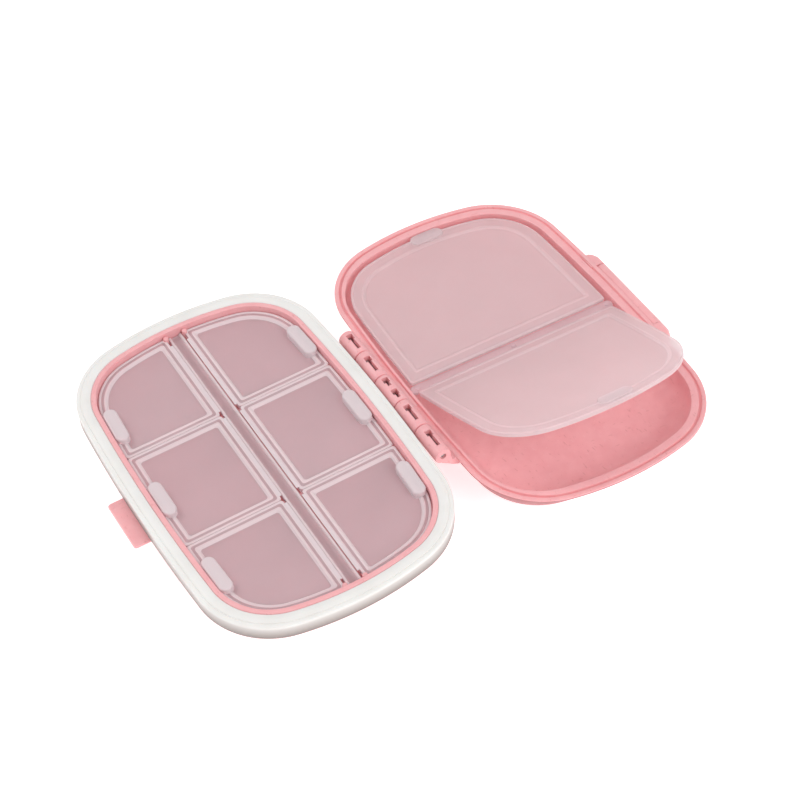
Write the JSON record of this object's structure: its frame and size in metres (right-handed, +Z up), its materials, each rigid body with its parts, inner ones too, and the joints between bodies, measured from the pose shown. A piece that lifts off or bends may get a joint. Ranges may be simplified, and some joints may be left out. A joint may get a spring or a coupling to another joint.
{
  "type": "pill organiser",
  "caption": "Hinged travel pill case with a silicone seal, frosted lids over its compartments, a frosted two-leaf cover lining and a fold-over latch.",
  "frame": {"origin": "centre of the base's flat bottom", "axes": "+X across the hinge towards the open cover, +Y along the hinge, +Z up"},
  "size_m": [0.1738, 0.1218, 0.0329],
  "materials": {
    "pink_plastic": "satin, speckled with plant fibre",
    "seal": "matte",
    "frosted": "frosted, translucent",
    "steel": "drawn"
  },
  "bodies": {
    "base": {"base_shell": "pink_plastic", "seal_ring": "seal", "lid_spine": "frosted", "hinge_pin": "steel"},
    "cover": {"cover_shell": "pink_plastic", "flap_spine": "frosted", "latch_pin": "steel"},
    "far_flap": {"flap_far": "frosted"},
    "near_flap": {"flap_near": "frosted"},
    "latch": {"latch_lever": "pink_plastic"},
    "lid_left_far_body": {"lid_left_far": "frosted"},
    "lid_left_middle_body": {"lid_left_middle": "frosted"},
    "lid_left_near_body": {"lid_left_near": "frosted"},
    "lid_right_far_body": {"lid_right_far": "frosted"},
    "lid_right_middle_body": {"lid_right_middle": "frosted"},
    "lid_right_near_body": {"lid_right_near": "frosted"}
  },
  "joints": [
    {"name": "cover_hinge", "type": "hinge", "parent": "base", "child": "cover", "pos_m": [0.04284, 0, 0.01686], "axis": [0, 1, 0], "range_deg": [-182.59, 0]},
    {"name": "far_flap_hinge", "type": "hinge", "parent": "cover", "child": "far_flap", "pos_m": [0.08549, 0.00185, 0.01164], "axis": [0.999, 0, -0.0452], "range_deg": [0, 90]},
    {"name": "near_flap_hinge", "type": "hinge", "parent": "cover", "child": "near_flap", "pos_m": [0.08549, -0.0018, 0.01164], "axis": [-0.999, 0, 0.0452], "range_deg": [-23.5, 0]},
    {"name": "latch_pivot", "type": "hinge", "parent": "cover", "child": "latch", "pos_m": [0.12736, 0, 0.00789], "axis": [0, 1, 0], "range_deg": [-222, 0]},
    {"name": "lid_left_far_hinge", "type": "hinge", "parent": "base", "child": "lid_left_far_body", "pos_m": [-0.00228, 0, 0.01738], "axis": [0, 1, 0], "range_deg": [0, 90]},
    {"name": "lid_left_middle_hinge", "type": "hinge", "parent": "base", "child": "lid_left_middle_body", "pos_m": [-0.00228, 0, 0.01738], "axis": [0, 1, 0], "range_deg": [0, 90]},
    {"name": "lid_left_near_hinge", "type": "hinge", "parent": "base", "child": "lid_left_near_body", "pos_m": [-0.00228, 0, 0.01738], "axis": [0, 1, 0], "range_deg": [0, 90]},
    {"name": "lid_right_far_hinge", "type": "hinge", "parent": "base", "child": "lid_right_far_body", "pos_m": [0.00228, 0, 0.01738], "axis": [0, -1, 0], "range_deg": [0, 90]},
    {"name": "lid_right_middle_hinge", "type": "hinge", "parent": "base", "child": "lid_right_middle_body", "pos_m": [0.00228, 0, 0.01738], "axis": [0, -1, 0], "range_deg": [0, 90]},
    {"name": "lid_right_near_hinge", "type": "hinge", "parent": "base", "child": "lid_right_near_body", "pos_m": [0.00228, 0, 0.01738], "axis": [0, -1, 0], "range_deg": [0, 90]}
  ],
  "couplings": [
    {"joint": "near_flap_hinge", "follows": "cover_hinge", "ratio": 0.1287}
  ]
}
